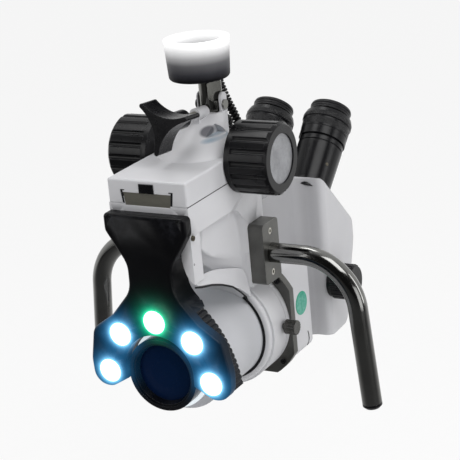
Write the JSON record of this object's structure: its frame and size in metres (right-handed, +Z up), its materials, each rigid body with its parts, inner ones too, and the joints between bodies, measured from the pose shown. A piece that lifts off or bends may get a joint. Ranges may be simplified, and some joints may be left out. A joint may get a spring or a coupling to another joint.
{
  "type": "suspended colposcope head",
  "caption": "Suspended optical examination head with a lamp ring round the objective, angled eyepieces, focus knobs, grip handles and a swivel and tilt mount.",
  "frame": {"origin": "centre of the suspension hub's top bore mouth", "axes": "+Z up along the hub bore, +Y from the patient towards the user along the optical axis, +X to the right as the user's view is faced from the front"},
  "size_m": [0.3126, 0.3355, 0.3481],
  "materials": {
    "hub_grey": "satin light grey paint",
    "bronze": "machined",
    "black_plastic": "fine matt moulding",
    "chrome": "polished chrome",
    "steel": "fine ground steel",
    "black_steel": "blackened steel",
    "white_paint": "smooth off-white stove enamel",
    "knob_black": "satin black moulding",
    "disc_aluminium": "spun aluminium",
    "gunmetal": "satin gunmetal anodising",
    "green_disc": "plain green film",
    "eyepiece_black": "satin black anodising",
    "eyecup_rubber": "soft matt rubber",
    "coated_glass": "violet blue coated glass",
    "lamp_black": "fine matt black",
    "board_green": "lacquered circuit board",
    "led_white": "lit white lens",
    "led_green": "lit green lens",
    "black_chrome": "dark mirror chrome",
    "cord_black": "satin black cord sheath"
  },
  "bodies": {
    "hub": {"suspension_hub": "hub_grey", "swivel_bush": "bronze", "cord_gland_hub": "black_plastic", "coiled_cord": "cord_black"},
    "swivel": {"swivel_post": "chrome", "swivel_washer": "steel", "swivel_screw": "black_steel"},
    "head": {"upper_housing": "white_paint", "tilt_pin": "chrome", "pin_ring": "black_steel", "front_cap": "black_plastic", "shaft_bushes": "bronze", "brake_pad": "bronze", "cord_gland_head": "black_plastic"},
    "tilt_clamp": {"wing_knob": "black_plastic", "wing_stud": "steel"},
    "focus_drive": {"focus_shaft": "steel", "focus_pinion": "bronze", "focus_knob_right": "knob_black", "focus_knob_left": "knob_black", "knob_discs": "disc_aluminium"},
    "microscope": {"focus_rack": "steel", "dovetail_slide": "steel", "dovetail_screws": "black_steel", "carrier": "white_paint", "side_screws": "black_steel", "objective_housing": "white_paint", "body_drum": "white_paint", "clamp_flange": "gunmetal", "flange_screws": "black_steel", "splitter_housing": "white_paint", "inspection_disc": "green_disc", "prism_housing": "white_paint", "eyepiece_tube_right": "eyepiece_black", "eyepiece_tube_left": "eyepiece_black", "lamp_housing": "lamp_black", "lamp_housing_screws": "black_steel", "lamp_board": "board_green", "lamp_heat_sink": "knob_black", "white_led_lenses": "led_white", "green_led_lens": "led_green", "handle_block_right": "gunmetal", "handle_block_left": "gunmetal", "handle_screws": "black_steel", "handle_bar_right": "black_chrome", "handle_bar_left": "black_chrome", "handle_caps": "steel", "objective_barrel": "lamp_black", "objective_lens": "coated_glass", "lens_retainer": "lamp_black"},
    "changer": {"changer_shaft": "steel", "changer_knobs": "knob_black"},
    "body_clamp": {"thumb_screw": "black_steel"},
    "ocular_right": {"diopter_ring_right": "eyepiece_black", "eyecup_right": "eyecup_rubber", "eye_lens_right": "coated_glass"},
    "ocular_left": {"diopter_ring_left": "eyepiece_black", "eyecup_left": "eyecup_rubber", "eye_lens_left": "coated_glass"}
  },
  "joints": [
    {"name": "swivel", "type": "hinge", "parent": "hub", "child": "swivel", "pos_m": [0, 0.0165, -0.037], "axis": [0, 0, 1], "range_deg": [-90, 90], "deforming": ["coiled_cord"]},
    {"name": "tilt", "type": "hinge", "parent": "swivel", "child": "head", "pos_m": [0, 0.0165, -0.0655], "axis": [1, 0, 0], "range_deg": [-12, 25], "deforming": ["coiled_cord"]},
    {"name": "tilt_clamp_turn", "type": "hinge", "parent": "head", "child": "tilt_clamp", "pos_m": [0, -0.0753, -0.0624], "axis": [0, 0.9962, -0.0872], "range_deg": [0, 120]},
    {"name": "coarse_focus", "type": "slide", "parent": "head", "child": "microscope", "axis": [0, 1, 0], "range_m": [-0.015, 0.015]},
    {"name": "focus_knob_turn", "type": "hinge", "parent": "head", "child": "focus_drive", "pos_m": [0, -0.0093, -0.1061], "axis": [1, 0, 0], "range_deg": [-108, 108]},
    {"name": "magnification_turn", "type": "hinge", "parent": "microscope", "child": "changer", "pos_m": [0, 0.129, -0.275], "axis": [1, 0, 0], "continuous": true},
    {"name": "thumb_screw_turn", "type": "hinge", "parent": "microscope", "child": "body_clamp", "pos_m": [0.06, 0.017, -0.2805], "axis": [1, 0, 0], "range_deg": [-180, 0]},
    {"name": "diopter_right", "type": "hinge", "parent": "microscope", "child": "ocular_right", "pos_m": [0.0325, 0.2, -0.1173], "axis": [0, -0.7071, -0.7071], "range_deg": [-90, 90]},
    {"name": "diopter_left", "type": "hinge", "parent": "microscope", "child": "ocular_left", "pos_m": [-0.0325, 0.2, -0.1173], "axis": [0, -0.7071, -0.7071], "range_deg": [-90, 90]}
  ],
  "couplings": [
    {"joint": "focus_knob_turn", "follows": "coarse_focus", "rad_per_m": 125}
  ]
}
